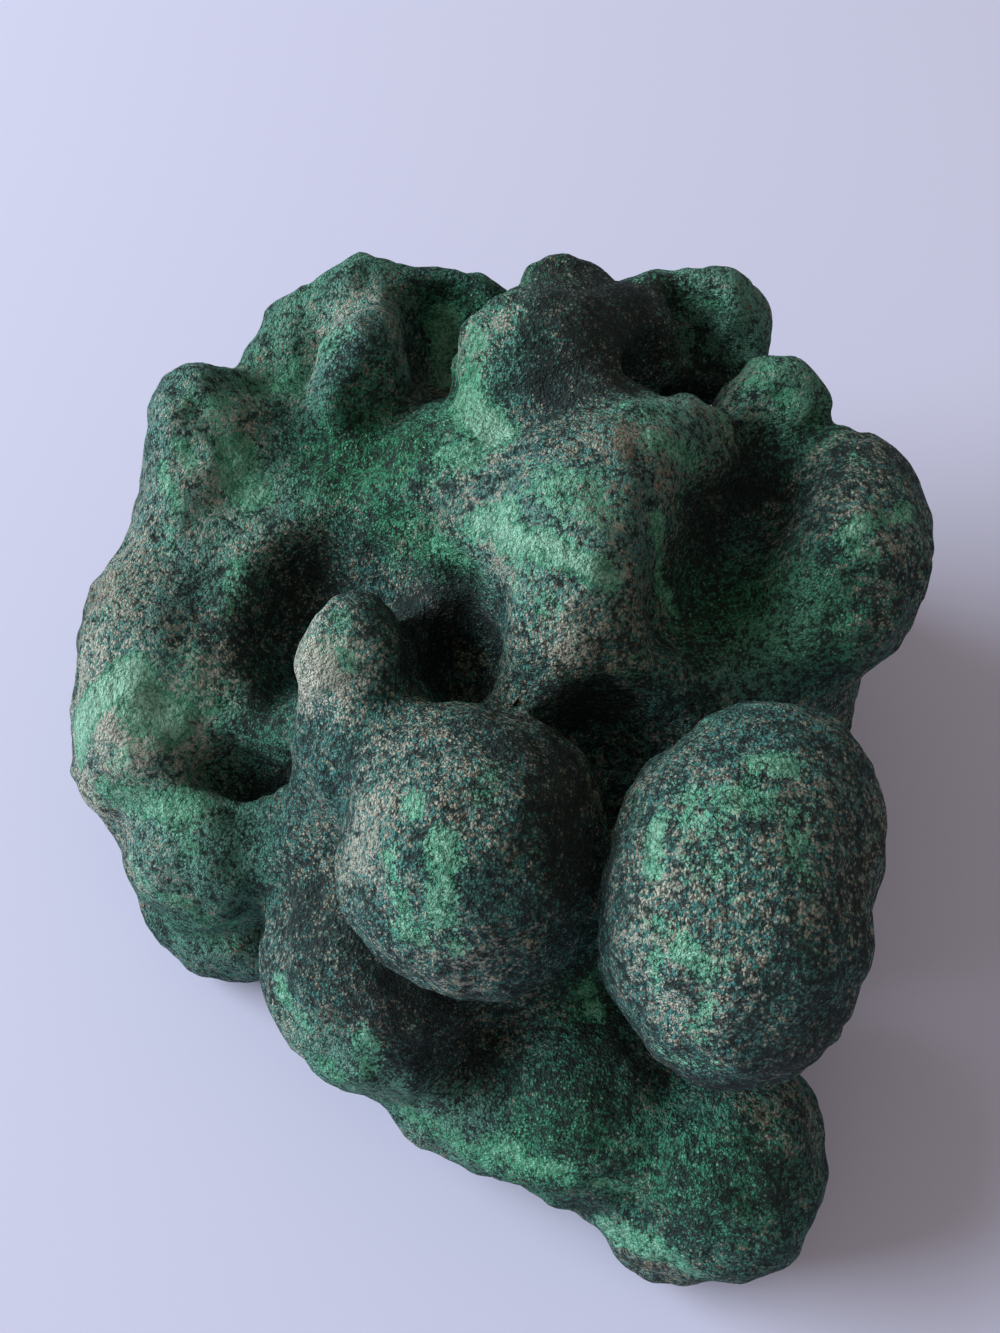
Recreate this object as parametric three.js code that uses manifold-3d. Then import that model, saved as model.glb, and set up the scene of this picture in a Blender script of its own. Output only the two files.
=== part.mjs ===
// A hand-size malachite specimen: one solid, grown as a cluster of rounded lobes
// round a common body, broken off flat underneath. Millimetres, +Z up. The origin is
// the middle of the flat rest face's outline box, with +X to the right and +Y to the back.

import * as THREE from 'three';
import { mergeVertices } from 'three/addons/utils/BufferGeometryUtils.js';
import Module from 'manifold-3d';

// Driving dimensions of the finished stone, in millimetres.
const width = 81; // left to right
const length = 92; // front to back
const height = 51; // from the rest face to the highest knob

const skinDetail = 23; // subdivisions of the skin's icosahedron: about 2.5 mm triangles
const heart = new THREE.Vector3(0, 8, 4); // the point the skin is drawn in towards
const farthest = 80; // no part of the stone is farther from its heart
const step = 0.8; // spacing of the search along each line from the heart
const halvings = 12; // times the last step of that search is halved
const clearOfCut = 0.35; // no corner of the skin is nearer the rest plane than this
const sameCorner = 1e-5; // corners of the unit sphere nearer than this are one

// The lobes, from the inside out. at is a lobe's centre and size its three half widths.
// turn is its heading about Z in degrees, and blend is the width of the fillet that
// joins it to the lobes listed before it: small where two balls meet in a crease.
const lobes = [
  { name: 'body', at: [0, 12, 12.5], size: [29, 29, 25], turn: 0, blend: 1 },
  { name: 'back body', at: [-3, 31, 25], size: [24, 17, 14], turn: 0, blend: 8 },
  { name: 'right body', at: [18, 21, 25], size: [17.5, 20, 16], turn: 0, blend: 6 },
  { name: 'crown body', at: [6, 20, 32], size: [15, 17, 9], turn: 0, blend: 8 },
  { name: 'left floor', at: [-20, 24, 20], size: [13, 20, 13], turn: 0, blend: 6 },

  // Low lobes round the back and the right side.
  { name: 'back foot, left', at: [-18, 40, 13], size: [12, 11, 13], turn: 0, blend: 2 },
  { name: 'back foot, middle', at: [3, 45, 12], size: [11, 9.5, 13], turn: 0, blend: 1.5 },
  { name: 'back foot, right', at: [22, 38, 14], size: [12, 11, 13], turn: 0, blend: 2 },
  { name: 'back shelf', at: [-7, 43, 25], size: [9, 8, 8], turn: 0, blend: 2.5 },
  { name: 'right foot', at: [29, 21, 13], size: [8.5, 12, 12], turn: 0, blend: 2 },
  { name: 'right foot, front', at: [26, 0, 12], size: [9, 10, 11], turn: 0, blend: 2 },

  // Left side, from the back to the front.
  { name: 'upper left knob', at: [-29.3, 38.5, 32.5], size: [6, 6, 8.5], turn: 0, blend: 5 },
  { name: 'upper left saddle', at: [-22.5, 40, 30], size: [6, 6, 7], turn: 0, blend: 4 },
  { name: 'left ridge', at: [-30, 30.5, 27], size: [6.5, 8, 9.5], turn: 0, blend: 6 },
  { name: 'left dome', at: [-33, 18.5, 21], size: [9, 10.5, 12.5], turn: 0, blend: 6 },
  { name: 'left flank', at: [-33.5, 9, 18], size: [8.3, 8.5, 12], turn: 0, blend: 4 },
  { name: 'left lower lobe', at: [-27.8, 2.6, 14], size: [9.4, 9.5, 11.5], turn: 0, blend: 2 },
  { name: 'left lower rim', at: [-29.8, -1.8, 5], size: [10.5, 6.2, 7], turn: -40, blend: 1.2 },

  // Front, under the two big balls.
  { name: 'lower left lobe', at: [-11.3, -11.4, 14], size: [10.5, 12, 13], turn: 20, blend: 2 },
  { name: 'front foot', at: [-1, -20.5, 6.5], size: [10, 7.5, 8], turn: -15, blend: 3 },
  { name: 'lower middle lobe', at: [8, -22, 9.5], size: [9.3, 9.5, 10], turn: 0, blend: 3 },
  { name: 'lower right lobe', at: [20.3, -27, 9.5], size: [9, 11, 11], turn: -10, blend: 2 },
  { name: 'lower right tip', at: [15.5, -31.8, 5], size: [6, 5.5, 5.5], turn: 0, blend: 4 },
  { name: 'lower front rim', at: [7.5, -26, 4], size: [12, 4.6, 5.5], turn: -32, blend: 1.5 },

  // Back, from left to right.
  { name: 'twin lobe, back', at: [-13.6, 49.5, 37], size: [5, 5.5, 7], turn: 15, blend: 4 },
  { name: 'twin lobe, back slope', at: [-20.3, 48.5, 31.5], size: [5.5, 5.5, 8], turn: 0, blend: 5 },
  { name: 'twin lobe, front', at: [-13.2, 40.5, 38.5], size: [4.2, 7.2, 7], turn: -28, blend: 3 },
  { name: 'back saddle', at: [-5, 50, 37], size: [7, 3.6, 6], turn: 0, blend: 4 },
  { name: 'upper knob', at: [4.5, 37.5, 43.5], size: [9, 6.8, 7.5], turn: 0, blend: 2.5 },
  { name: 'upper knob, right', at: [11.5, 41, 42], size: [5.8, 5.2, 6], turn: 0, blend: 3 },
  { name: 'top knob', at: [6, 44, 46], size: [3.8, 3.4, 3.6], turn: 0, blend: 1.5 },
  { name: 'back right lobe', at: [20.5, 46, 38], size: [6.4, 5.5, 8], turn: 0, blend: 3 },
  { name: 'back right bump', at: [14.5, 48, 39], size: [5, 4, 5], turn: 0, blend: 2 },

  // Crown, from the back to the front.
  { name: 'shoulder', at: [14, 27, 42], size: [10, 6, 6], turn: -5, blend: 5 },
  { name: 'right shoulder', at: [25.5, 35, 38.5], size: [5.5, 5, 7], turn: 0, blend: 4 },
  { name: 'crown mound', at: [8, 16.5, 41], size: [10, 12.5, 10], turn: 0, blend: 8 },
  { name: 'crown slope', at: [-2.5, 24, 38], size: [9, 12, 7], turn: 0, blend: 5 },
  { name: 'right lobe', at: [29.5, 20.8, 36], size: [9.5, 12.5, 10.5], turn: -14, blend: 2 },
  { name: 'small knob', at: [-12.5, 8.8, 38], size: [6, 5.5, 6.6], turn: 0, blend: 1.5 },
  { name: 'neck', at: [-12.5, 3.5, 31], size: [5.5, 6, 7], turn: 0, blend: 3 },

  // The two big balls.
  { name: 'central ball', at: [-2, -6.8, 33], size: [11, 12.3, 12], turn: 0, blend: 1.5 },
  { name: 'ball neck', at: [-7, 1, 33.5], size: [7.5, 5.5, 7], turn: 0, blend: 4 },
  { name: 'big ball', at: [18.4, -12.3, 36.5], size: [10.6, 15, 13], turn: -10, blend: 1 },
  { name: 'big ball corner', at: [22.6, -5.5, 36], size: [6.3, 7.5, 11], turn: 0, blend: 5 },
  { name: 'lip behind the big ball', at: [21.5, -13, 28], size: [8.8, 11, 6], turn: -10, blend: 0.8 },
];

// Hollows pressed into the joined lobes, written in the same way.
const hollows = [
  { name: 'left valley', at: [-19.6, 15, 38], size: [5.4, 10.5, 12], turn: -15, blend: 3 },
  { name: 'above the small knob', at: [-12.5, 18.8, 40], size: [6.5, 3.6, 9], turn: -10, blend: 5 },
  { name: 'behind the small knob', at: [-3.8, 11.3, 38.5], size: [4.4, 6, 11], turn: 0, blend: 4 },
  { name: 'left crease', at: [-23.2, 3.9, 26], size: [6, 1.8, 5], turn: -8, blend: 2.5 },
  { name: 'between the balls', at: [9, 2.6, 37], size: [6, 2.6, 6], turn: 0, blend: 2 },
  { name: 'right valley', at: [20, 18, 46], size: [4.8, 13, 9.5], turn: -32, blend: 6 },
  { name: 'back groove', at: [20, 43, 42.5], size: [5.5, 2.4, 5], turn: -50, blend: 2.5 },
  { name: 'under the upper knob', at: [15, 36.5, 43.5], size: [6, 2.4, 4], turn: 14, blend: 2.5 },
  { name: 'beside the twins', at: [-6, 44.5, 41], size: [3.5, 5, 6], turn: 0, blend: 3 },
];

function placed({ at, size, turn, blend }) {
  const heading = new THREE.Matrix4().makeRotationZ(THREE.MathUtils.degToRad(turn));
  const intoLobe = heading.setPosition(...at).invert();
  return { intoLobe, size: new THREE.Vector3(...size), blend };
}

const placedLobes = lobes.map(placed);
const placedHollows = hollows.map(placed);

// About how far a point is outside one lobe, negative inside it.
function outsideLobe(point, { intoLobe, size }) {
  const local = point.clone().applyMatrix4(intoLobe).divide(size);
  const reach = local.length();
  return (reach * (reach - 1)) / Math.max(local.divide(size).length(), 1e-9);
}

// The smaller of two distances, with a fillet of the given width where they meet.
function filleted(one, other, blend) {
  const overlap = Math.max(blend - Math.abs(one - other), 0) / blend;
  return Math.min(one, other) - (overlap * overlap * blend) / 4;
}

// About how far a point is outside the whole stone: the lobes joined, less the hollows.
function outsideStone(point) {
  let total = outsideLobe(point, placedLobes[0]);
  for (const lobe of placedLobes.slice(1)) {
    total = filleted(total, outsideLobe(point, lobe), lobe.blend);
  }
  for (const hollow of placedHollows) {
    total = -filleted(-total, outsideLobe(point, hollow), hollow.blend);
  }
  return total;
}

// The outermost point of the stone in one direction from its heart.
function surfacePoint(direction) {
  const at = (distance) => heart.clone().addScaledVector(direction, distance);
  let outer = farthest;
  while (outer > step && outsideStone(at(outer)) > 0) outer -= step;
  let inner = outer;
  outer += step;
  for (let halving = 0; halving < halvings; halving++) {
    const middle = (inner + outer) / 2;
    if (outsideStone(at(middle)) > 0) outer = middle;
    else inner = middle;
  }
  return at(inner);
}

function lobedSkin() {
  const skin = new THREE.IcosahedronGeometry(1, skinDetail);
  skin.deleteAttribute('normal');
  skin.deleteAttribute('uv');
  const merged = mergeVertices(skin, sameCorner);
  const corners = merged.getAttribute('position');
  const corner = new THREE.Vector3();
  for (let i = 0; i < corners.count; i++) {
    corner.copy(surfacePoint(corner.fromBufferAttribute(corners, i).normalize()));
    if (Math.abs(corner.z) < clearOfCut) corner.z = -clearOfCut;
    corners.setXYZ(i, corner.x, corner.y, corner.z);
  }
  return merged;
}

const wasm = await Module();
wasm.setup();

function solidOf(geometry) {
  const merged = geometry.index ? geometry : mergeVertices(geometry);
  return new wasm.Manifold(
    new wasm.Mesh({
      numProp: 3,
      vertProperties: new Float32Array(merged.getAttribute('position').array),
      triVerts: new Uint32Array(merged.index.array),
    }),
  );
}

function geometryOf(solid) {
  const mesh = solid.getMesh();
  const geometry = new THREE.BufferGeometry();
  geometry.setAttribute('position', new THREE.BufferAttribute(mesh.vertProperties, 3));
  geometry.setIndex(new THREE.BufferAttribute(mesh.triVerts, 1));
  return geometry;
}

// Everything below the rest plane is cut away by a block that is larger than the stone.
function groundBlock() {
  const block = new THREE.BoxGeometry(4 * farthest, 4 * farthest, farthest);
  block.deleteAttribute('normal');
  block.deleteAttribute('uv');
  block.translate(0, 0, -farthest / 2);
  return mergeVertices(block);
}

function stoneGeometry() {
  const stone = geometryOf(solidOf(lobedSkin()).subtract(solidOf(groundBlock())));
  stone.computeBoundingBox();
  const box = stone.boundingBox;
  const middle = box.getCenter(new THREE.Vector3());
  const size = box.getSize(new THREE.Vector3());
  stone.translate(-middle.x, -middle.y, -box.min.z);
  stone.scale(width / size.x, length / size.y, height / size.z);
  stone.computeVertexNormals();
  return stone;
}

const malachite = new THREE.MeshStandardMaterial({
  color: new THREE.Color(0.09, 0.2, 0.16),
  roughness: 0.95,
  metalness: 0,
});

const stone = new THREE.Mesh(stoneGeometry(), malachite);
stone.name = 'malachite_stone';

const specimen = new THREE.Group();
specimen.add(stone);

export default specimen;
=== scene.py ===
import math

import bmesh
import bpy
import numpy as np
from mathutils import Matrix, Vector, noise


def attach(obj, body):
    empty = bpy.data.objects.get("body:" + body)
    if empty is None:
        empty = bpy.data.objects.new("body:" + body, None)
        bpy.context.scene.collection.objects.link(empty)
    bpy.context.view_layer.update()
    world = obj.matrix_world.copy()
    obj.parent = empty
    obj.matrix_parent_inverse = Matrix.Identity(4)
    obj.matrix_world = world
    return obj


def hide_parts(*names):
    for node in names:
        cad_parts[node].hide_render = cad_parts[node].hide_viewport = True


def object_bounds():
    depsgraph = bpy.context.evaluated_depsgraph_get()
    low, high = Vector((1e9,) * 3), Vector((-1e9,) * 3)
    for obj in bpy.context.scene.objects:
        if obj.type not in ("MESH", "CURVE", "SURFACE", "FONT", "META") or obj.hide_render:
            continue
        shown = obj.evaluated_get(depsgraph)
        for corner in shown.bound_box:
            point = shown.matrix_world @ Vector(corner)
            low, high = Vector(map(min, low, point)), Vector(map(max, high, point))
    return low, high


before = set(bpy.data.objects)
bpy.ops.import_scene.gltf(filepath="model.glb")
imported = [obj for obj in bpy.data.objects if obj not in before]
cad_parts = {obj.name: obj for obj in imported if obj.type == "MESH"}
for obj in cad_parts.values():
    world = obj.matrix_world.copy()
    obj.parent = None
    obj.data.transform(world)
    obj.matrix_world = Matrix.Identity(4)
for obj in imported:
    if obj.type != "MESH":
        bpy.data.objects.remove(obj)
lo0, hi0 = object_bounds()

mm = 0.001
print("frame loaded, box", [round(v, 4) for v in (*lo0, *hi0)])

# The camera looks down on the front of the stone, which lies on a pale sheet.
view = {
    "target": (1.3 * mm, 1.8 * mm, 34 * mm),
    "distance": 115 * mm,
    "elevation": 60,
    "lens": 35,
    "sensor": 36,
}


def makeCamera():
    data = bpy.data.cameras.new("camera")
    data.lens = view["lens"]
    data.sensor_width = view["sensor"]
    data.clip_start = 5 * mm
    data.clip_end = 10
    camera = bpy.data.objects.new("camera", data)
    bpy.context.collection.objects.link(camera)
    rise = math.radians(view["elevation"])
    back = Vector((0, -math.cos(rise), math.sin(rise)))
    camera.location = Vector(view["target"]) + back * view["distance"]
    camera.rotation_euler = (-back).to_track_quat("-Z", "Y").to_euler()
    bpy.context.scene.camera = camera


# Soft window light from the left, and a weak sky.
window = {"place": (-1.22, 0.15, 0.5), "size": 1.0, "power": 34, "colour": (0.91, 0.96, 1.0)}
sky = {"colour": (1.0, 0.85, 0.74), "strength": 0.35}


def makeLights():
    data = bpy.data.lights.new("window", "AREA")
    data.shape = "SQUARE"
    data.size = window["size"]
    data.energy = window["power"]
    data.color = window["colour"]
    lamp = bpy.data.objects.new("window", data)
    bpy.context.collection.objects.link(lamp)
    lamp.location = window["place"]
    aim = Vector((0, 0, 0.02)) - Vector(window["place"])
    lamp.rotation_euler = aim.to_track_quat("-Z", "Y").to_euler()
    world = bpy.data.worlds.new("sky")
    world.use_nodes = True
    background = world.node_tree.nodes["Background"]
    background.inputs["Color"].default_value = (*sky["colour"], 1)
    background.inputs["Strength"].default_value = sky["strength"]
    bpy.context.scene.world = world
    bpy.context.scene.view_settings.view_transform = "Standard"


makeCamera()
makeLights()
print("camera and lights placed")

# The stone's lobes in millimetres, from the inside out: centre, half widths, turn about Z in
# degrees and the width of the fillet that joins the lobe to those before it.
stoneLobes = [
    ("body", (0, 12, 12.5), (29, 29, 25), 0, 1),
    ("backBody", (-3, 31, 25), (24, 17, 14), 0, 8),
    ("rightBody", (18, 21, 25), (17.5, 20, 16), 0, 6),
    ("crownBody", (6, 20, 32), (15, 17, 9), 0, 8),
    ("leftFloor", (-20, 24, 20), (13, 20, 13), 0, 6),
    ("backFootLeft", (-18, 40, 13), (12, 11, 13), 0, 2),
    ("backFootMiddle", (3, 45, 12), (11, 9.5, 13), 0, 1.5),
    ("backFootRight", (22, 38, 14), (12, 11, 13), 0, 2),
    ("backShelf", (-7, 43, 25), (9, 8, 8), 0, 2.5),
    ("rightFoot", (29, 21, 13), (8.5, 12, 12), 0, 2),
    ("rightFootFront", (26, 0, 12), (9, 10, 11), 0, 2),
    ("upperLeftKnob", (-29.3, 38.5, 32.5), (6, 6, 8.5), 0, 5),
    ("upperLeftSaddle", (-22.5, 40, 30), (6, 6, 7), 0, 4),
    ("leftRidge", (-30, 30.5, 27), (6.5, 8, 9.5), 0, 6),
    ("leftDome", (-33, 18.5, 21), (9, 10.5, 12.5), 0, 6),
    ("leftFlank", (-33.5, 9, 18), (8.3, 8.5, 12), 0, 4),
    ("leftLowerLobe", (-27.8, 2.6, 14), (9.4, 9.5, 11.5), 0, 2),
    ("leftLowerRim", (-29.8, -1.8, 5), (10.5, 6.2, 7), -40, 1.2),
    ("lowerLeftLobe", (-11.3, -11.4, 14), (10.5, 12, 13), 20, 2),
    ("frontFoot", (-1, -20.5, 6.5), (10, 7.5, 8), -15, 3),
    ("lowerMiddleLobe", (8, -22, 9.5), (9.3, 9.5, 10), 0, 3),
    ("lowerRightLobe", (20.3, -27, 9.5), (9, 11, 11), -10, 2),
    ("lowerRightTip", (15.5, -31.8, 5), (6, 5.5, 5.5), 0, 4),
    ("lowerFrontRim", (7.5, -26, 4), (12, 4.6, 5.5), -32, 1.5),
    ("twinBack", (-13.6, 49.5, 37), (5, 5.5, 7), 15, 4),
    ("twinBackSlope", (-20.3, 48.5, 31.5), (5.5, 5.5, 8), 0, 5),
    ("twinFront", (-13.2, 40.5, 38.5), (4.2, 7.2, 7), -28, 3),
    ("backSaddle", (-5, 50, 37), (7, 3.6, 6), 0, 4),
    ("upperKnob", (4.5, 37.5, 43.5), (9, 6.8, 7.5), 0, 2.5),
    ("upperKnobRight", (11.5, 41, 42), (5.8, 5.2, 6), 0, 3),
    ("topKnob", (6, 44, 46), (3.8, 3.4, 3.6), 0, 1.5),
    ("backRightLobe", (20.5, 46, 38), (6.4, 5.5, 8), 0, 3),
    ("backRightBump", (14.5, 48, 39), (5, 4, 5), 0, 2),
    ("shoulder", (14, 27, 42), (10, 6, 6), -5, 5),
    ("rightShoulder", (25.5, 35, 38.5), (5.5, 5, 7), 0, 4),
    ("crownMound", (8, 16.5, 41), (10, 12.5, 10), 0, 8),
    ("crownSlope", (-2.5, 24, 38), (9, 12, 7), 0, 5),
    ("rightLobe", (29.5, 20.8, 36), (9.5, 12.5, 10.5), -14, 2),
    ("smallKnob", (-12.5, 8.8, 38), (6, 5.5, 6.6), 0, 1.5),
    ("neck", (-12.5, 3.5, 31), (5.5, 6, 7), 0, 3),
    ("centralBall", (-2, -6.8, 33), (11, 12.3, 12), 0, 1.5),
    ("ballNeck", (-7, 1, 33.5), (7.5, 5.5, 7), 0, 4),
    ("bigBall", (18.4, -12.3, 36.5), (10.6, 15, 13), -10, 1),
    ("bigBallCorner", (22.6, -5.5, 36), (6.3, 7.5, 11), 0, 5),
    ("lipBehindBigBall", (21.5, -13, 28), (8.8, 11, 6), -10, 0.8),
]

# Hollows pressed into the joined lobes, written in the same way.
stoneHollows = [
    ("leftValley", (-19.6, 15, 38), (5.4, 10.5, 12), -15, 3),
    ("aboveSmallKnob", (-12.5, 18.8, 40), (6.5, 3.6, 9), -10, 5),
    ("behindSmallKnob", (-3.8, 11.3, 38.5), (4.4, 6, 11), 0, 4),
    ("leftCrease", (-23.2, 3.9, 26), (6, 1.8, 5), -8, 2.5),
    ("betweenBalls", (9, 2.6, 37), (6, 2.6, 6), 0, 2),
    ("rightValley", (20, 18, 46), (4.8, 13, 9.5), -32, 6),
    ("backGroove", (20, 43, 42.5), (5.5, 2.4, 5), -50, 2.5),
    ("underUpperKnob", (15, 36.5, 43.5), (6, 2.4, 4), 14, 2.5),
    ("besideTwins", (-6, 44.5, 41), (3.5, 5, 6), 0, 3),
]

stoneSkin = {
    "voxel": 0.6,  # mm between the skin's points
    "restEdge": 0.8,  # mm, the worn edge of the flat rest face
    "settle": 4,  # rounds of drawing the skin on to the lobes and evening it
    "relief": [  # wavelength, height and added height under moss, in mm
        (13.0, 0.55, 0),
        (6.0, 0.55, 0.25),
        (3.0, 0.44, 0.3),
        (1.5, 0.2, 0.12),
    ],
}


def outsideLobe(points, place, size, turn):
    # About how far each point is outside one lobe, negative inside it.
    angle = math.radians(turn)
    away = points - np.array(place)
    across = away[:, 0] * math.cos(angle) + away[:, 1] * math.sin(angle)
    along = away[:, 1] * math.cos(angle) - away[:, 0] * math.sin(angle)
    local = np.stack([across, along, away[:, 2]], 1) / np.array(size)
    reach = np.linalg.norm(local, axis=1)
    steep = np.linalg.norm(local / np.array(size), axis=1)
    return reach * (reach - 1) / np.maximum(steep, 1e-9)


def filleted(one, other, blend):
    overlap = np.maximum(blend - np.abs(one - other), 0) / blend
    return np.minimum(one, other) - overlap * overlap * blend / 4


def outsideStone(points):
    # The lobes joined in turn, less the hollows. A far lobe changes nothing near the skin.
    total = np.full(len(points), 20.0)
    for sign, shapes in ((1, stoneLobes), (-1, stoneHollows)):
        for _, place, size, turn, blend in shapes:
            away = np.linalg.norm(points - np.array(place), axis=1)
            near = np.flatnonzero(away < max(size) + blend + 4)
            one = outsideLobe(points[near], place, size, turn)
            total[near] = sign * filleted(sign * total[near], one, blend)
    return -filleted(-total, points[:, 2], stoneSkin["restEdge"])


def drawnIn(points):
    # Each point moved on to the joined lobes, along the slope found from four near points.
    step = 0.05
    corners = np.array([(1, -1, -1), (-1, -1, 1), (-1, 1, -1), (1, 1, 1)], float)
    found = [outsideStone(points + corner * step) for corner in corners]
    slope = sum(f[:, None] * corner for f, corner in zip(found, corners)) / (4 * step)
    length = np.maximum((slope ** 2).sum(1), 0.25)
    return points - slope * np.clip(sum(found) / 4 / length, -1, 1)[:, None]


def readPoints(mesh):
    points = np.empty(len(mesh.vertices) * 3)
    mesh.vertices.foreach_get("co", points)
    return points.reshape(-1, 3)


def writePoints(mesh, points):
    mesh.vertices.foreach_set("co", points.ravel())
    mesh.update()


def applyModifiers(piece):
    shaped = bpy.data.meshes.new_from_object(piece.evaluated_get(bpy.context.evaluated_depsgraph_get()))
    piece.modifiers.clear()
    piece.data = shaped


def joinedEllipsoids(name, shapes, subdivisions, ground):
    # One ellipsoid for each row. With ground, each is cut flat and closed at the rest plane.
    joined = bmesh.new()
    for _, place, size, turn, _ in shapes:
        matrix = Matrix.Translation(place) @ Matrix.Rotation(math.radians(turn), 4, "Z")
        matrix = matrix @ Matrix.Diagonal((*size, 1))
        one = bmesh.new()
        bmesh.ops.create_icosphere(one, subdivisions=subdivisions, radius=1, matrix=matrix)
        if ground:
            cut = bmesh.ops.bisect_plane(
                one, geom=one.verts[:] + one.edges[:] + one.faces[:], dist=1e-4,
                plane_co=(0, 0, 0), plane_no=(0, 0, -1), clear_outer=True,
            )
            rim = [e for e in cut["geom_cut"] if isinstance(e, bmesh.types.BMEdge)]
            if rim:
                bmesh.ops.edgeloop_fill(one, edges=rim)
        part = bpy.data.meshes.new(name)
        one.to_mesh(part)
        one.free()
        joined.from_mesh(part)
        bpy.data.meshes.remove(part)
    mesh = bpy.data.meshes.new(name)
    joined.to_mesh(mesh)
    joined.free()
    piece = bpy.data.objects.new(name, mesh)
    bpy.context.collection.objects.link(piece)
    return piece


def reskin(piece, voxel):
    skin = piece.modifiers.new("skin", "REMESH")
    skin.mode = "VOXEL"
    skin.voxel_size = voxel
    skin.adaptivity = 0
    applyModifiers(piece)


def makeStone():
    stone = joinedEllipsoids("stone", stoneLobes, 4, True)
    reskin(stone, stoneSkin["voxel"])
    dents = joinedEllipsoids("dents", stoneHollows, 4, False)
    reskin(dents, stoneSkin["voxel"])
    carve = stone.modifiers.new("carve", "BOOLEAN")
    carve.operation = "DIFFERENCE"
    carve.object = dents
    applyModifiers(stone)
    bpy.data.objects.remove(dents)
    reskin(stone, stoneSkin["voxel"])
    print("skin of", len(stone.data.vertices), "points")
    for turn in range(stoneSkin["settle"]):
        points = readPoints(stone.data)
        for _ in range(2):
            points = drawnIn(points)
        writePoints(stone.data, points)
        if turn < 2:
            reskin(stone, stoneSkin["voxel"])
        if turn < stoneSkin["settle"] - 1:
            even = stone.modifiers.new("even", "SMOOTH")
            even.factor = 0.5
            even.iterations = 4
            applyModifiers(stone)
    print("skin settled")
    return stone


def fitToFrame(piece):
    # The joined lobes fill the CAD stone's box exactly, and from here on are in metres.
    points = readPoints(piece.data)
    low, high = points.min(0), points.max(0)
    points = np.array(lo0) + (points - low) / (high - low) * (np.array(hi0) - np.array(lo0))
    writePoints(piece.data, points)


def readNormals(mesh):
    normals = np.empty(len(mesh.vertices) * 3)
    mesh.vertices.foreach_get("normal", normals)
    return normals.reshape(-1, 3)


def swells(points, wavelength, seed):
    # Smooth noise from about -1 to 1 whose swells are this far apart.
    shift = Vector((seed * 7.3, seed * 3.1, seed * 5.7))
    return np.array([noise.noise(Vector(p) / wavelength + shift) for p in points])


def roughen(piece):
    mesh = piece.data
    points = readPoints(mesh)
    normals = readNormals(mesh)
    height = np.zeros(len(points))
    moss = np.empty(len(points), np.float32)
    mesh.attributes["moss"].data.foreach_get("value", moss)
    for seed, (wavelength, rise, mossRise) in enumerate(stoneSkin["relief"]):
        height += swells(points, wavelength * mm, seed) * (rise + moss * mossRise) * mm
    onRest = np.clip(points[:, 2] / (2 * mm), 0.15, 1)
    points += normals * (height * onRest)[:, None]
    points[:, 2] = np.maximum(points[:, 2], 0)
    writePoints(mesh, points)


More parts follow.
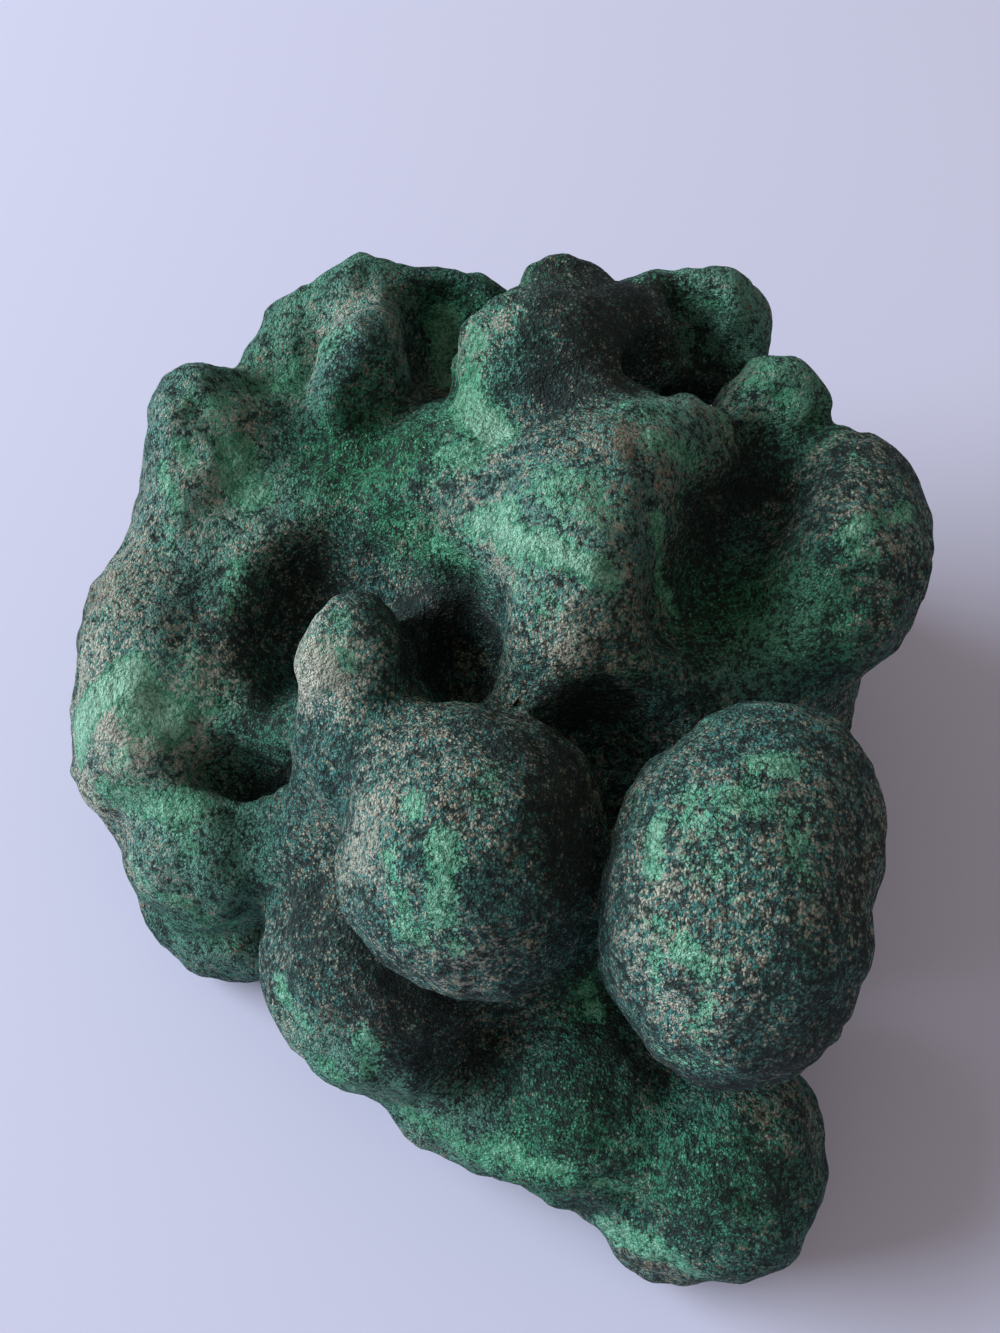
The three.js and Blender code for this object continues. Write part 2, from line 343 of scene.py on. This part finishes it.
# Where each tint lies on the skin: from, to, half width in mm and strength.
tints = {
    "mint": [  # pale powder in ragged patches
        # the crown mound
        ((1, 7, 47), (6, 3, 50), 1.8, 1.2), ((6, 3, 50), (10, 1, 49), 1.5, 1.15),
        ((5, 10, 50), (9, 7, 51), 3.4, 0.7), ((-1, 9, 45), (2, 8, 48), 1.9, 1.1),
        ((14, 8, 47), (15, 7, 41), 1.4, 0.95), ((15, 7, 40), (16, 5, 38), 1.6, 1.0),
        ((-4, 10, 41), (-2, 9, 40), 1.8, 0.7), ((-3, 8, 35), (-3, 8, 35), 1.6, 0.6),
        ((2, 4, 47), (4, -1, 47), 3, 0.45),
        # round the foot of the upper knob, and the shoulder
        ((-4, 40, 38), (-4, 36, 34), 2.2, 1.3), ((-2, 24, 44), (1, 18, 46), 2.4, 1.4),
        ((-3, 17, 45), (-1, 16, 45), 2.2, 0.95), ((-1, 27, 48), (-2, 25, 46), 2.4, 0.7),
        ((14, 14, 50), (18, 15, 46), 1.5, 0.85), ((18, 24, 45), (25, 26, 45), 2.8, 0.55),
        ((21, 20, 45), (23, 21, 45), 2.0, 0.6), ((12, 18, 50), (16, 20, 48), 3.5, 0.4),
        # the right lobe
        ((30, 8, 46), (36, 11, 44), 1.4, 1.05), ((31, 7, 45), (32, 6, 45), 2.2, 0.6),
        ((27, 24, 44), (33, 16, 46), 1.6, 0.85),
        # the left ridge and dome
        ((-24, 24, 37), (-22, 20, 35), 2.6, 1.0), ((-29, 24, 38), (-28, 22, 37), 1.2, 0.8),
        ((-31, 22, 37), (-29, 18, 36), 1.1, 0.95), ((-27, 27, 40), (-25, 27, 39), 2.4, 0.6),
        ((-38, -1, 27), (-32, 3, 31), 2.0, 1.7), ((-39, -3, 25), (-37, -1, 27), 1.8, 1.4),
        ((-31, 0, 30), (-29, -1, 29), 3.0, 1.3), ((-27, 3, 31), (-25, 0, 28), 3.2, 0.6),
        ((-30, 16, 34), (-30, 14, 34), 1.6, 0.6), ((-23, 13, 33), (-24, 9, 32), 1.6, 0.7),
        ((-35, -6, 24), (-27, -8, 25), 2.6, 0.85), ((-28, -7, 25), (-27, -11, 23), 2.0, 0.8),
        ((-31, -3, 29), (-33, -6, 26), 3, 0.5), ((-34, -10, 19), (-28, -14, 18), 1.2, 0.85),
        ((-28, -14, 18), (-23, -16, 11), 1.1, 0.8), ((-28, -15, 12), (-25, -16, 10), 1.6, 0.5),
        # the lower lobes in front
        ((-10, -28, 23), (-10, -30, 20), 1.7, 0.95), ((-18, -23, 21), (-16, -26, 21), 1.8, 0.75),
        ((-14, -29, 18), (-12, -30, 17), 1.7, 0.7), ((-8, -31, 10), (-1, -35, 10), 2.0, 0.75),
        ((1, -35, 12), (3, -36, 13), 2.0, 1.0), ((3, -36, 13), (7, -37, 15), 1.6, 0.8),
        ((7, -37, 15), (13, -39, 13), 1.1, 0.75), ((11, -41, 8), (16, -44, 12), 2.0, 1.0),
        ((16, -44, 12), (18, -45, 11), 2.0, 0.95), ((9, -23, 20), (10, -25, 18), 1.5, 0.95),
        # the central ball
        ((-3, -19, 44), (-3, -24, 41), 1.7, 0.95), ((-5.5, -16, 44), (-5.5, -16, 44), 1.6, 1.1),
        ((-7, -19, 42), (-6, -23, 40), 1.4, 0.65), ((-6, -24, 39), (-4, -24, 39), 2.0, 0.75),
        ((-2, -25, 39), (-2, -25, 39), 1.5, 0.8), ((1, -13, 45), (0, -16, 45), 1.8, 0.5),
        # the big ball
        ((13, -18.5, 46), (12, -22, 46), 1.2, 1.05), ((15, -17, 48), (16, -22, 49), 2.6, 0.55),
        ((17, -18, 49), (20, -18, 49), 2.4, 0.75), ((20, -15, 49), (22, -15, 49), 1.6, 0.95),
        ((22, -19, 49), (22, -23, 49), 1.8, 0.65), ((14, -28, 46), (16, -29, 46), 1.8, 0.8),
        ((13, -26, 45), (12, -29, 43), 1.5, 0.6), ((15, -31, 44), (15, -33, 42), 1.6, 0.6),
        ((13, -33, 37), (17, -34, 39), 1.5, 0.7), ((18, -22, 50), (18, -27, 49), 3.0, 0.3),
        ((-12, -2, 44), (-13, -1, 42), 2.0, 0.3),
        # the small knob and the twins
        ((-12, 0, 44), (-11, -3, 43), 1.4, 0.7), ((-9, 13, 34), (-8, 14, 35), 1.4, 0.7),
        ((-18, 32, 38), (-14, 31, 44), 2.4, 0.8), ((-21, 32, 38), (-19, 34, 37), 1.8, 0.65),
        ((15, 39, 44), (17, 39, 43), 1.8, 0.7), ((20, 38, 43), (22, 37, 43), 3.0, 0.6),
    ],
    "moss": [  # grains of a livelier green
        ((-14, 22, 37), (-8, 20, 42), 8, 1.0), ((-9, 15, 38), (-3, 9, 40), 5, 0.9),
        ((20, 38, 43), (29, 24, 43), 6, 0.9), ((27, 2, 41), (22, 5, 38), 7, 1.0),
        ((20, -39, 19), (15, -38, 16), 8, 0.7), ((8, -34, 18), (3, -36, 12), 7, 0.8),
        ((-14, -29, 17), (-2, -35, 10), 6, 0.8), ((-28, -14, 12), (-24, -8, 22), 7, 0.7),
        ((-22, 34, 36), (-12, 46, 42), 7, 0.8), ((-1, 28, 47), (4, 34, 47), 7, 0.6),
        ((9, -23, 20), (10, -26, 18), 4, 0.8), ((-25, 2, 28), (-20, -2, 28), 6, 0.6),
        ((-2, 42, 38), (-2, 24, 44), 5, 0.9), ((-26, 26, 39), (-22, 14, 34), 6, 0.5),
        ((14, 18, 49), (20, 24, 45), 5, 0.4),
    ],
    "rich": [  # more crystals and fewer gaps
        ((-29, 24, 38), (-26, 18, 36), 10, 1.3), ((-33, 14, 34), (-34, 4, 32), 8, 0.9),
        ((-30, -1, 29), (-28, -10, 22), 9, 1.2), ((-27, -16, 10), (-22, -18, 12), 6, 1.0),
        ((-17, 33, 41), (-13, 36, 42), 7, 1.3), ((14, 14, 50), (20, 22, 46), 8, 1.0),
        ((22, 37, 43), (25, 26, 45), 8, 1.2), ((0, 8, 47), (8, 4, 49), 8, 0.9),
        ((0, 27, 49), (-2, 25, 46), 6, 0.6), ((26, 2, 41), (23, 0, 38), 6, 0.7),
        ((32, 13, 45), (30, 16, 44), 6, 0.3), ((-14, -29, 17), (-4, -34, 11), 7, 1.3),
        ((-9, -16, 42), (-9, -20, 40), 5, 0.6), ((-24, 34, 36), (-14, 44, 40), 8, 0.8),
        ((-14, -2, 43), (-16, 0, 41), 5, 1.2),
    ],
    "paintedShade": [  # painted shade: grains nearly black on sides turned from the window, under knobs and in valleys
        ((30, 15, 45), (36, 18, 42), 6, 0.65), ((26, -23, 46), (27, -20, 42), 4, 0.7),
        ((7, -20, 41), (6, -11, 43), 5.5, 1.0), ((-8, -24, 26), (-2, -29, 18), 7, 0.9),
        ((18, 13, 41), (24, 19, 40), 6, 0.9), ((34, 4, 42), (39, 10, 36), 6, 0.5),
        ((-20, 12, 30), (-18, 18, 30), 6, 1.0), ((-5, 4, 32), (-1, 6, 34), 5, 1.0),
        ((9, 31, 50), (16, 34, 45), 7, 1.5), ((6, 22, 49), (16, 26, 47), 4.5, 1.2),
        ((24, -34, 40), (28, -24, 36), 6, 0.85), ((10, -33, 34), (20, -36, 34), 5, 0.8),
        ((2, -22, 36), (6, -12, 34), 6, 0.8), ((19, 8, 40), (22, 22, 39), 6, 0.7),
        ((10, -4, 36), (7, -2, 36), 4, 1.0), ((-22, -5, 22), (-17, -5, 24), 3.5, 0.9),
        ((-9, 38, 37), (-8, 33, 37), 3, 0.7), ((5, -26, 22), (14, -28, 22), 5, 0.95),
        ((17, 30, 36), (22, 33, 37), 3.5, 0.9), ((18, 4, 37), (20, 0, 37), 4, 0.6),
        ((-9, 4, 38), (-4, 6, 34), 6, 1.4), ((-13, 8, 35), (-6, 8, 36), 4, 0.9),
        ((-8, 0, 38), (-7, 3, 37), 4.5, 1.3), ((24, -38, 18), (17, -42, 16), 6, 0.5),
        ((-23, 8, 30), (-21, 0, 28), 6, 0.7), ((-16, 18, 33), (-12, 16, 35), 5, 0.5),
        ((-16, -17, 24), (-8, -24, 26), 6, 0.75), ((0, -30, 20), (8, -32, 20), 6, 0.6),
        ((22, -20, 47), (21, -30, 44), 6, 0.4), ((27, -14, 44), (27, -28, 42), 7, 0.55),
        ((0, -8, 43), (4, -14, 43), 5, 0.6), ((6, -8, 43), (8, -5, 38), 4.5, 0.9),
        ((10, -1, 46), (16, 2, 41), 3.5, 0.5),
    ],
    "dustAndSheen": [  # grey buff grains: dust, and painted sheen on the slopes lit from the left
        ((-35, 6, 32), (-30, 12, 34), 6, 0.5), ((-14, -3, 42), (-17, 0, 40), 5.5, 2.0),
        ((-10, -18, 39), (-9, -12, 43), 5, 0.9), ((-31, 27, 38), (-34, 15, 32), 5, 0.6),
        ((-22, -15, 14), (-19, -20, 22), 4, 0.6), ((0, 6, 45), (5, 0, 47), 6, 0.6),
        ((-32, -1, 29), (-30, 1, 29), 7, 1.7), ((12, -22, 46), (13, -30, 42), 4, 0.8),
        ((-6, -26, 36), (0, -27, 36), 4, 0.6), ((5, 30, 50), (-1, 28, 47), 5, 0.7),
        ((16, -30, 44), (22, -27, 47), 5, 0.4), ((12, -20, 47), (21, -22, 48), 9, 0.35),
        ((-6, -10, 44), (2, -18, 44), 8, 0.35), ((-28, -12, 21), (-32, -10, 19), 5, 0.8),
        ((-29, 26, 39), (-24, 24, 37), 6, 0.8), ((-12, 36, 42), (-17, 33, 41), 5, 0.8),
        ((-36, 4, 30), (-38, -4, 22), 5, 1.2), ((-28, 22, 38), (-24, 14, 34), 6, 0.7),
        ((24, 26, 45), (30, 20, 44), 6, 0.6), ((5, 8, 50), (0, 14, 46), 6, 0.6),
        ((28, 14, 46), (34, 10, 45), 6, 0.5), ((-20, -24, 18), (-10, -30, 14), 5, 0.5),
        ((-28, -8, 24), (-22, -12, 22), 6, 0.5), ((6, 8, 50), (9, 3, 50), 5, 0.5),
        ((-16, 31, 42), (-14, 34, 44), 4, 0.6), ((-27, 25, 39), (-25, 28, 40), 5, 0.4),
    ],
}

strayMint = {"spacing": 9, "from": 0.25, "strength": 0.8}  # faint patches all round, mm between


def tintShare(points, rows):
    # For each point the strongest of these patches: its strength inside, down to 0 at the edge.
    share = np.zeros(len(points))
    for start, end, width, strength in rows:
        start, end = np.array(start, float), np.array(end, float)
        length = end - start
        away = points - start
        along = np.clip(away @ length / max(length @ length, 1e-9), 0, 1)
        distance = np.linalg.norm(away - along[:, None] * length, axis=1)
        share = np.maximum(share, strength * np.clip(1.3 - distance / width, 0, 1))
    return share


def markSkin(piece):
    # Masks that the finish reads: where each tint lies, and how deep the skin is sunk in, which the finish
    # turns into painted shade in the creases.
    mesh = piece.data
    points = readPoints(mesh) / mm
    normals = readNormals(mesh)
    masks = {name: tintShare(points, rows) for name, rows in tints.items()}
    stray = (swells(points, strayMint["spacing"], 11) - strayMint["from"]) * strayMint["strength"]
    masks["mint"] = np.maximum(masks["mint"], stray)
    smooth = piece.copy()
    smooth.data = mesh.copy()
    bpy.context.collection.objects.link(smooth)
    even = smooth.modifiers.new("even", "SMOOTH")
    even.iterations = 60
    applyModifiers(smooth)
    masks["creaseShade"] = ((readPoints(smooth.data) / mm - points) * normals).sum(1)
    bpy.data.objects.remove(smooth)
    for name, values in masks.items():
        mesh.attributes.new(name, "FLOAT", "POINT").data.foreach_set("value", values.astype(np.float32))
        print(name, "from", round(float(values.min()), 2), "to", round(float(values.max()), 2))


stone = makeStone()
fitToFrame(stone)
markSkin(stone)
roughen(stone)
stone.data.polygons.foreach_set("use_smooth", [True] * len(stone.data.polygons))
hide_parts("malachite_stone")
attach(stone, "root")
print("stone shaped,", len(stone.data.polygons), "faces")

malachite = {
    "dark": (0.022, 0.035, 0.036),
    "teal": (0.078, 0.285, 0.262),
    "paleTeal": (0.24, 0.50, 0.44),
    "green": (0.050, 0.365, 0.165),
    "tan": (0.39, 0.41, 0.33),
    "buff": (0.62, 0.67, 0.57),
    "mint": (0.075, 0.40, 0.25),
    "paleMint": (0.27, 0.72, 0.49),
    "brightMint": (0.46, 0.90, 0.68),
    "mossMint": (0.06, 0.42, 0.20),
    "brown": (0.19, 0.135, 0.09),
    # colour of the painted glints
    "paintedGlint": (0.45, 0.85, 0.60),
    "grain": 0.26,  # mm across one crystal grain
    "roughness": 0.9,
    "gloss": 0.22,
    "bump": 0.8,  # mm
}


class Nodes:
    # A material's node tree, built from the shader outwards.
    def __init__(self, name):
        self.material = bpy.data.materials.new(name)
        self.material.use_nodes = True
        self.tree = self.material.node_tree
        self.shader = self.tree.nodes["Principled BSDF"]

    def add(self, kind, inputs=(), **settings):
        made = self.tree.nodes.new(kind)
        for key, value in settings.items():
            setattr(made, key, value)
        for key, value in dict(inputs).items():
            if isinstance(value, bpy.types.NodeSocket):
                self.tree.links.new(value, made.inputs[key])
            elif value is not None:
                made.inputs[key].default_value = value
        return made

    def place(self):
        return self.add("ShaderNodeTexCoord").outputs["Object"]

    def noise(self, place, spacing, detail=2, rough=0.5, distort=0):
        inputs = {"Vector": place, "Scale": 1 / (spacing * mm), "Detail": detail,
                  "Roughness": rough, "Distortion": distort}
        return self.add("ShaderNodeTexNoise", inputs).outputs["Fac"]

    def cells(self, place, spacing, output="Distance"):
        inputs = {"Vector": place, "Scale": 1 / (spacing * mm)}
        return self.add("ShaderNodeTexVoronoi", inputs).outputs[output]

    def math(self, operation, one, other):
        return self.add("ShaderNodeMath", {0: one, 1: other}, operation=operation).outputs[0]

    def step(self, value, start, end, low=0, high=1):
        inputs = {"Value": value, "From Min": start, "From Max": end, "To Min": low, "To Max": high}
        made = self.add("ShaderNodeMapRange", inputs, interpolation_type="SMOOTHSTEP")
        return made.outputs["Result"]

    def mix(self, share, one, other):
        made = self.add("ShaderNodeMix", data_type="RGBA")
        colours = [s for s in made.inputs if s.type == "RGBA"]
        for socket, value in ((made.inputs[0], share), (colours[0], one), (colours[1], other)):
            if isinstance(value, bpy.types.NodeSocket):
                self.tree.links.new(value, socket)
            elif isinstance(value, tuple):
                socket.default_value = (*value, 1)
            else:
                socket.default_value = value
        return [s for s in made.outputs if s.type == "RGBA"][0]

    def vector(self, operation, inputs):
        return self.add("ShaderNodeVectorMath", inputs, operation=operation).outputs[0]

    def bent(self, place, spacing, reach):
        # The place pushed about by smooth noise, so that the cells cut from it are irregular.
        inputs = {"Vector": place, "Scale": 1 / (spacing * mm), "Detail": 1}
        pushed = self.add("ShaderNodeTexNoise", inputs).outputs["Color"]
        centred = self.vector("SUBTRACT", {0: pushed, 1: (0.5, 0.5, 0.5)})
        scaled = self.vector("SCALE", {0: centred, "Scale": reach * mm})
        return self.vector("ADD", {0: place, 1: scaled})

    def sum(self, start, *terms):
        # start, plus each value's distance from its middle times its weight
        total = start
        for value, weight, middle in terms:
            term = self.math("MULTIPLY", self.math("SUBTRACT", value, middle), weight)
            total = self.math("ADD", total, term)
        return total

    def product(self, *values):
        total = values[0]
        for value in values[1:]:
            total = self.math("MULTIPLY", total, value)
        return total

    def attribute(self, name):
        return self.add("ShaderNodeAttribute", attribute_name=name).outputs["Fac"]

    def link(self, value, socket):
        self.tree.links.new(value, self.shader.inputs[socket])


def malachiteFinish():
    n = Nodes("malachite")
    size = malachite["grain"]
    names = ("mint", "moss", "rich", "paintedShade", "dustAndSheen", "creaseShade")
    mint, moss, rich, paintedShade, dustAndSheen, creaseShade = (n.attribute(name) for name in names)
    straight = n.place()
    place = n.bent(straight, size * 1.4, size * 1.1)
    fine = n.noise(straight, size * 0.5, 2, 0.7)
    clusters = n.noise(straight, 0.75, 3, 0.65)
    drift = n.noise(straight, 2.4, 3, 0.6)
    broad = n.noise(straight, 8, 2, 0.5)
    # grains: each has a shade and a brightness of its own, and near black between them
    gap = n.cells(place, size)
    kinds = n.add("ShaderNodeSeparateColor", {"Color": n.cells(place, size, output="Color")})
    shade, bright = kinds.outputs[0], kinds.outputs[1]
    tanShare = n.sum(
        0.27, (broad, 1.6, 0.5), (drift, 1.2, 0.5), (clusters, 0.8, 0.5), (moss, -0.5, 0), (dustAndSheen, 0.3, 0),
    )
    green = n.mix(n.math("MULTIPLY", moss, 0.85), malachite["teal"], malachite["green"])
    pale = n.mix(n.step(bright, 0.2, 0.6, 0.8, 0), malachite["tan"], malachite["brown"])
    pale = n.mix(dustAndSheen, pale, malachite["buff"])
    green = n.mix(n.step(rich, 0, 1.2, 0, 0.55), green, malachite["paleTeal"])
    isTan = n.step(n.math("SUBTRACT", tanShare, shade), -0.2, 0.2)
    grainColour = n.mix(isTan, green, pale)
    cover = n.product(
        n.step(gap, 0.65, 0.3, 0.4, 1.9),
        n.step(n.math("POWER", bright, 1.5), 0, 1, 0.25, 1.9),
        n.step(fine, 0.3, 0.68, 0.45, 1.5),
        n.step(clusters, 0.36, 0.62, 0.12, 1.75),
        n.step(drift, 0.34, 0.62, 0.28, 1.45),
        n.step(broad, 0.3, 0.65, 0.7, 1.25),
        # brighter under dust and the painted sheen of the lit left slopes
        n.step(dustAndSheen, 0, 2, 1, 2.5),
        n.step(rich, 0, 1.2, 1, 2.3),
        # painted shade: grains darkened where the lobes lie in shadow
        n.step(paintedShade, 0, 1, 1, 0.12),
        # painted shade: darker where the skin is sunk into creases
        n.step(creaseShade, 0.1, 1.6, 1, 0.4),
    )
    # dust and painted sheen also fill the gaps
    filled = n.product(n.step(dustAndSheen, 0.5, 2, 0, 0.8), n.step(fine, 0.3, 0.7, 0.5, 1.2))
    cover = n.math("MINIMUM", n.math("MAXIMUM", cover, filled), 1)
    colour = n.mix(cover, malachite["dark"], grainColour)
    # mint powder with ragged edges, thinner over the gaps
    ragged = n.noise(straight, 2.2, 5, 0.75, 0.6)
    mintDepth = n.sum(
        0, (mint, 1, 0), (ragged, 2.0, 0.48), (gap, -0.5, 0.4), (bright, 0.35, 0.5), (fine, 0.8, 0.5),
        # less mint under the painted shade
        (paintedShade, -0.3, 0),
    )
    mintShare = n.step(mintDepth, 0.34, 0.8, 0, 0.95)
    pales = n.step(n.noise(straight, 1.1, 4, 0.7), 0.38, 0.66)
    mintColour = n.mix(pales, malachite["mint"], malachite["paleMint"])
    mintColour = n.mix(n.step(mintDepth, 0.75, 1.3, 0, 0.9), mintColour, malachite["brightMint"])
    mintColour = n.mix(n.step(moss, 0, 1, 0, 0.45), mintColour, malachite["mossMint"])
    shaded = n.math("MAXIMUM", n.step(bright, 0, 0.6, 0.45, 0), n.step(fine, 0.3, 0.5, 0.4, 0))
    mintColour = n.mix(shaded, mintColour, malachite["dark"])
    colour = n.mix(mintShare, colour, mintColour)
    # painted glints: a few crystals on the green grains drawn bright as if catching the light
    paintedGlint = n.product(n.step(bright, 0.93, 0.97), n.step(moss, 0.3, 0.9), n.step(gap, 0.5, 0.2))
    colour = n.mix(n.math("MULTIPLY", paintedGlint, 0.8), colour, malachite["paintedGlint"])
    n.link(colour, "Base Color")
    lumps = n.cells(place, size * 2.4)
    domes = n.product(n.math("SUBTRACT", 1, gap), n.math("ADD", bright, 0.4), n.step(mintShare, 0, 1, 1, 0.45))
    height = n.sum(0, (domes, 1.0, 0), (lumps, -0.5, 0), (fine, 0.9, 0), (clusters, 3.2, 0))
    bump = n.add("ShaderNodeBump", {"Height": height, "Distance": malachite["bump"] * mm})
    bump.inputs["Strength"].default_value = 1
    n.link(bump.outputs["Normal"], "Normal")
    n.link(n.step(bright, 0.6, 1, malachite["roughness"], 0.5), "Roughness")
    n.shader.inputs["Specular IOR Level"].default_value = malachite["gloss"]
    return n.material


stone.data.materials.clear()
stone.data.materials.append(malachiteFinish())
print("malachite finish made")


def makeFloor():
    sheet = bmesh.new()
    bmesh.ops.create_grid(sheet, x_segments=1, y_segments=1, size=1.5)
    mesh = bpy.data.meshes.new("paper")
    sheet.to_mesh(mesh)
    sheet.free()
    floor = bpy.data.objects.new("paper", mesh)
    bpy.context.collection.objects.link(floor)
    paper = bpy.data.materials.new("paper")
    paper.use_nodes = True
    shader = paper.node_tree.nodes["Principled BSDF"]
    shader.inputs["Base Color"].default_value = (0.64, 0.67, 0.90, 1)
    shader.inputs["Roughness"].default_value = 0.9
    mesh.materials.append(paper)


makeFloor()
